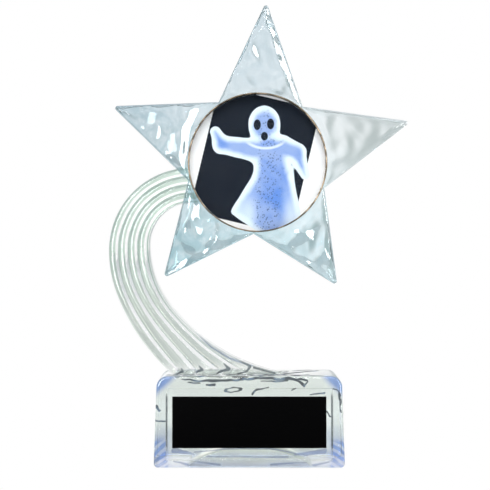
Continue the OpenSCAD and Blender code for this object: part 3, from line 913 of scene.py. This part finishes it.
def picture():
    material, finish = new_finish("printed_ghost")
    x, _, z = finish.place()
    u, v = x - star_x / MM, z - star_z / MM
    coords = finish.node("ShaderNodeTexCoord", out=3)
    cloth = finish.node("ShaderNodeTexNoise", None, coords, Scale=160.0, Detail=4.0)
    grain = finish.node("ShaderNodeTexNoise", None, coords, Scale=1400.0, Detail=2.0)
    ripple = (cloth - 0.5) * 3.0
    # The card, turned a little clockwise on the white disc.
    tilt = math.radians(13.5)
    across = u * math.cos(tilt) - v * math.sin(tilt)
    up = u * math.sin(tilt) + v * math.cos(tilt)
    card = ((-20.6 - across).at_least(across - 18.3)).at_least((-23.6 - up).at_least(up - 24.6))
    card = 1 - card.step(-0.12, 0.12)
    # The sheet: a round head, a raised arm, a lowered arm, and a robe that spreads to the left.
    head = oval(u, v, 2.6, 14.0, 6.0, 7.4)
    raised = limb(u, v, (-15.7, 11.4), (-13.4, 6.8), 2.1, 3.2).blended_with(
        limb(u, v, (-13.4, 6.8), (-1.0, 4.6), 3.2, 4.4), 2.0)
    lowered = limb(u, v, (9.5, 5.8), (14.6, 3.8), 4.4, 3.5).blended_with(
        limb(u, v, (14.6, 3.8), (17.8, -4.6), 3.4, 1.7), 2.0)
    chest = limb(u, v, (4.8, 4.4), (5.6, -4.0), 6.4, 6.9)
    skirt = edge_of(u, v, (-10.6, -18.8), (-1.2, -4.0)).at_least(
        edge_of(u, v, (12.6, -1.0), (14.8, -12.5))).at_least(v + 2.0)
    hem = edge_of(u, v, (-2.0, -24.5), (-10.4, -18.6))
    skirt = (skirt * -1).blended_with(hem * -1, 3.0) * -1
    sheet = head.blended_with(chest, 3.0).blended_with(raised, 3.0).blended_with(lowered, 3.0)
    sheet = sheet.blended_with(skirt, 3.0) + ripple * 0.28
    ghost = 1 - sheet.step(-0.15, 0.15)
    # Pale at the folds and the rim, blue down the middle, with specks that thin out to the sides.
    depth = (sheet * -1 + ripple).step(0.6, 3.0)
    folds = finish.node("ShaderNodeTexNoise", None, coords, Scale=75.0, Detail=2.0, Distortion=0.8)
    pale_low = (1 - v.step(-22.0, -6.0)) * abs(u - 4.5).step(3.0, 8.0)
    shade_in = depth * (1 - pale_low * 0.8) * (0.65 + folds.step(0.35, 0.65) * 0.35)
    blue = finish.mix(folds.step(0.3, 0.7), (0.05, 0.16, 0.57, 1), (0.13, 0.28, 0.72, 1))
    cloth_colour = finish.mix(shade_in, (0.77, 0.89, 1.0, 1), blue)
    specks = finish.node("ShaderNodeTexVoronoi", None, coords, Scale=1250.0, out=0)
    seeds = finish.node("ShaderNodeTexNoise", None, coords, Scale=420.0, Detail=0.0)
    middle = 1 - abs(u - 4.2 + (v + 8) * -0.08).step(3.0, 6.5)
    specks = (1 - specks.step(0.22, 0.42)) * seeds.step(0.40, 0.47) * middle * depth * 0.8
    cloth_colour = finish.mix(specks, cloth_colour, (0.05, 0.09, 0.20, 1))
    # Two eyes, a small round mouth, and the fold under the chin.
    face = oval(u, v, -0.1, 14.2, 1.35, 2.0).at_most(oval(u, v, 4.9, 14.5, 1.35, 2.0)).at_most(
        oval(u, v, 2.6, 9.9, 1.3, 1.6))
    face = 1 - face.step(-0.12, 0.12)
    fold = abs(oval(u, v, 3.0, 10.0, 7.6, 4.6)) - 0.35
    fold = (1 - fold.step(-0.2, 0.4)) * (1 - v.step(6.5, 8.5)) * ghost
    cloth_colour = finish.mix(fold * 0.7, cloth_colour, (0.86, 0.93, 1.0, 1))
    night = finish.mix(grain, (0.006, 0.009, 0.016, 1), (0.012, 0.017, 0.028, 1))
    colour = finish.mix(card, (0.93, 0.94, 0.96, 1), night)
    colour = finish.mix(ghost, colour, cloth_colour)
    colour = finish.mix(face, colour, night)
    shade(finish, Base_Color=colour, Roughness=0.6 + grain * 0.1, Specular_IOR_Level=0.0)
    return material


def film():
    material, finish = new_finish("clear_film")
    coords = finish.node("ShaderNodeTexCoord", out=3)
    wear = finish.node("ShaderNodeTexNoise", None, coords, Scale=120.0, Detail=3.0)
    shade(finish, Base_Color=(0.9, 0.95, 1.0, 1), Roughness=0.05 + wear * 0.08,
          Alpha=0.002 + wear * 0.006)
    return material


polished(nodes["trim_ring"], gilt())
polished(nodes["insert_glue"], glue())
polished(nodes["insert_print"], picture())


def film_disc():
    """The film, with its edge rounded and its back a hair off the paper."""
    low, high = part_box("insert_cover")
    thick = high[1] - low[1] - HAIR
    bpy.ops.object.select_all(action="DESELECT")
    bpy.ops.mesh.primitive_cylinder_add(
        vertices=256, radius=(high[0] - low[0]) / 2, depth=thick, rotation=(math.radians(90), 0, 0),
        location=(star_x, low[1] + thick / 2, star_z))
    piece = bpy.context.object
    piece.name = piece.data.name = "cover_film"
    bpy.ops.object.transform_apply(location=True, rotation=True, scale=True)
    made = piece.modifiers.new("soft_edge", "BEVEL")
    made.width = 0.06 * MM
    made.segments = 2
    made.limit_method = "ANGLE"
    bpy.ops.object.modifier_apply(modifier=made.name)
    smooth(piece, 35)
    piece.data.materials.append(film())
    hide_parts("insert_cover")
    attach(piece, "root")


film_disc()


# ---------------------------------------------------------------- The name plate
# A thin black plate with softened edges, left blank, held in the sunk panel by a film of tape.

def tape():
    material, finish = new_finish("mounting_tape")
    coords = finish.node("ShaderNodeTexCoord", out=3)
    weave = finish.node("ShaderNodeTexNoise", None, coords, Scale=500.0, Detail=2.0)
    colour = finish.mix(weave, (0.75, 0.75, 0.72, 1), (0.88, 0.88, 0.86, 1))
    shade(finish, Base_Color=colour, Roughness=0.5 + weave * 0.2)
    return material


def plate_finish():
    material, finish = new_finish("black_plate")
    coords = finish.node("ShaderNodeTexCoord", out=3)
    grain = finish.node("ShaderNodeTexNoise", None, coords, Scale=900.0, Detail=3.0)
    colour = finish.mix(grain, (0.0003, 0.0003, 0.0004, 1), (0.001, 0.001, 0.0012, 1))
    shade(finish, Base_Color=colour, Roughness=0.55 + grain * 0.15, Specular_IOR_Level=0.01)
    return material


def softened_plate():
    """The plate, with the edges that the shears rolled over."""
    piece = nodes["name_plate"].copy()
    piece.data = piece.data.copy()
    piece.name = piece.data.name = "blank_plate"
    bpy.context.scene.collection.objects.link(piece)
    take_up(piece)
    bpy.ops.object.mode_set(mode="EDIT")
    bpy.ops.mesh.select_all(action="SELECT")
    bpy.ops.mesh.remove_doubles(threshold=0.001 * MM)
    bpy.ops.mesh.dissolve_limited(angle_limit=math.radians(1))
    bpy.ops.mesh.select_all(action="SELECT")
    bpy.ops.mesh.bevel(offset=0.12 * MM, segments=3, affect="EDGES")
    bpy.ops.object.mode_set(mode="OBJECT")
    smooth(piece, 40)
    piece.data.materials.clear()
    piece.data.materials.append(plate_finish())
    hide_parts("name_plate")
    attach(piece, "root")


polished(nodes["plate_tape"], tape())
softened_plate()
